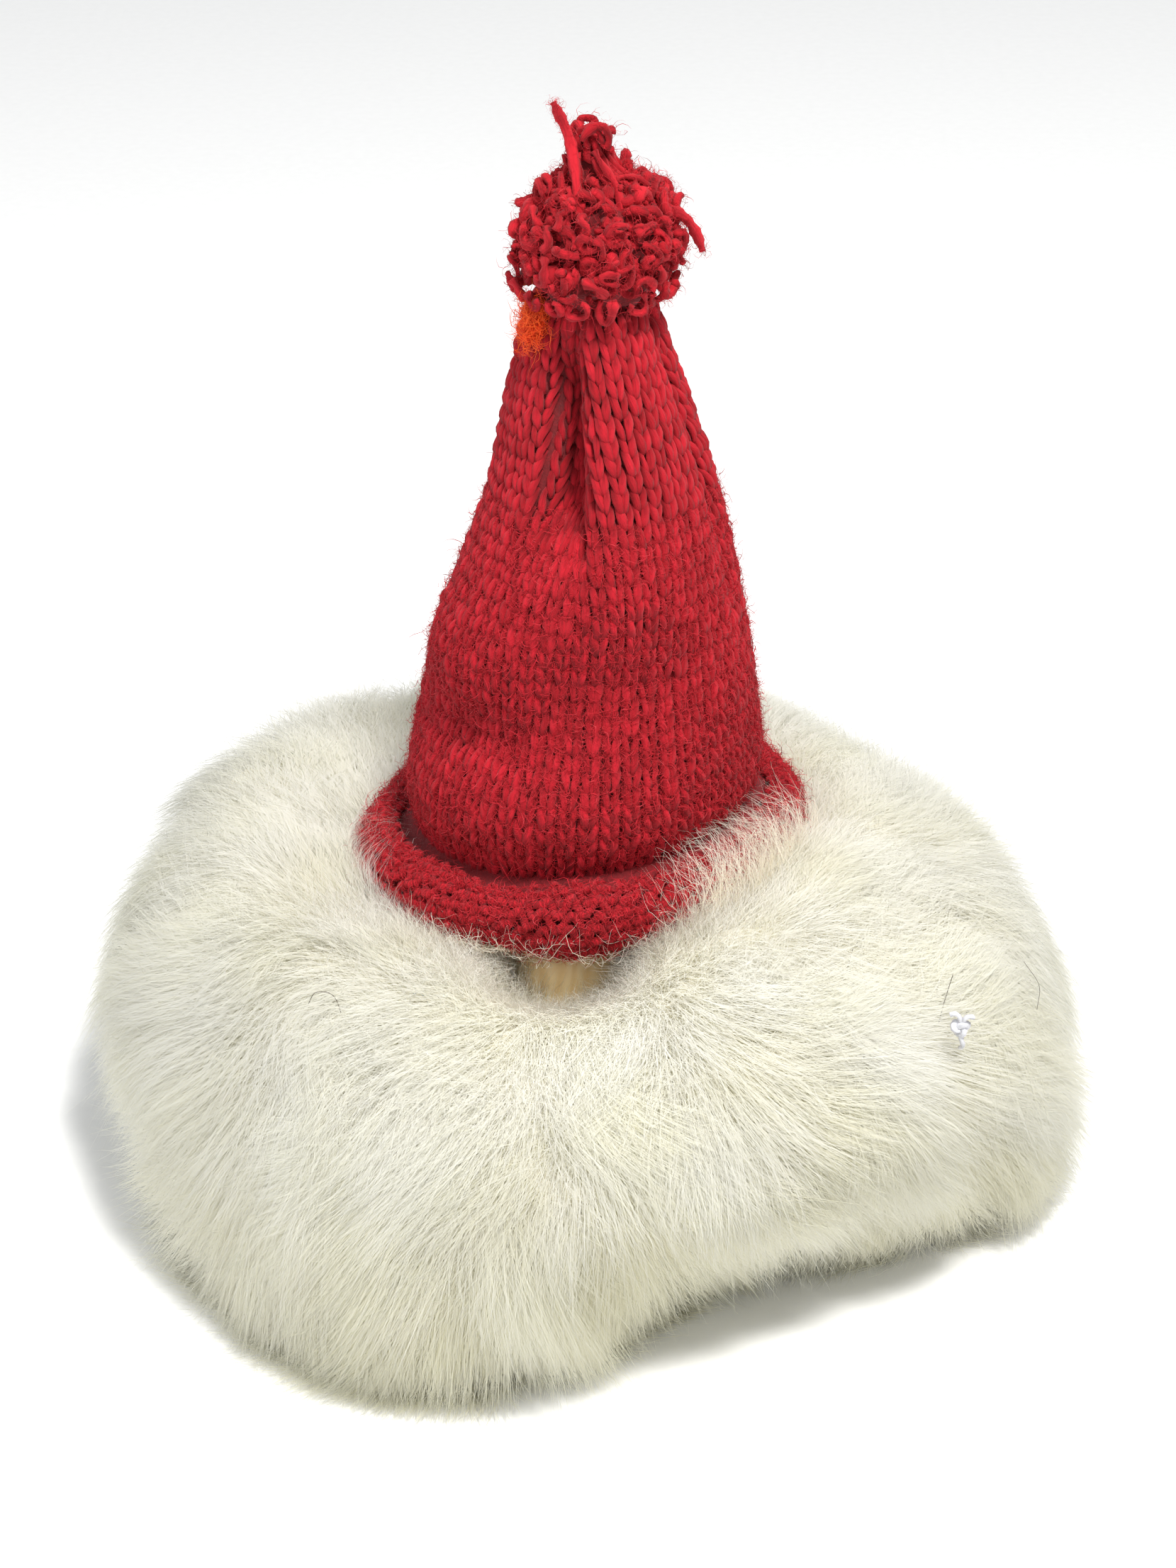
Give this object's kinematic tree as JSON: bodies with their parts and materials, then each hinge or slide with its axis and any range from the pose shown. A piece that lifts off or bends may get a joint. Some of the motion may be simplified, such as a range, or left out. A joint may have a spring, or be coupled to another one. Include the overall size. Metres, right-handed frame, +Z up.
{
  "type": "tomte gnome figurine",
  "caption": "Stuffed folk gnome that stands on a flat felt base: a mound of long cream fur, a wooden ball nose and a red knitted cap with a rolled brim and a ravelled crown.",
  "frame": {"origin": "centre of the felt base's flat underside, where the gnome stands on the table", "axes": "+Z up through the cap; -Y is the front, where the nose is; +X is the gnome's left hand, on the right when it is seen from the front"},
  "size_m": [0.1848, 0.178, 0.201],
  "materials": {
    "fur": "long silky cream pile",
    "red_wool": "fuzzy knitted wool",
    "orange_wool": "loose wool fibre",
    "wood": "raw turned wood",
    "cotton": "stretched cotton jersey",
    "felt": "pressed felt",
    "card": "grey-brown board",
    "fibrefill": "fluffy polyester filling",
    "pellets": "small pellets",
    "thread": "spun sewing thread",
    "glue": "set hot-melt glue"
  },
  "bodies": {
    "figure": {"base_felt": "felt", "base_card": "card", "body_sack": "cotton", "body_stuffing": "fibrefill", "weight_bag": "cotton", "weight_pellets": "pellets", "weight_bag_tie": "thread", "neck_tie": "thread", "nose_ball": "wood", "nose_glue": "glue", "beard_left": "fur", "beard_right": "fur", "fur_left": "fur", "fur_right": "fur", "fur_back": "fur", "thread_knot": "thread"},
    "cap": {"cap_knit": "red_wool", "cap_stuffing": "fibrefill", "crown_tie": "red_wool", "crown_fringe": "red_wool", "yarn_end_tall": "red_wool", "yarn_end_hooked": "red_wool", "orange_tuft": "orange_wool"}
  },
  "joints": [
    {"name": "cap_lift", "type": "slide", "parent": "figure", "child": "cap", "axis": [0, 0, 1], "range_m": [0, 0.08]}
  ]
}
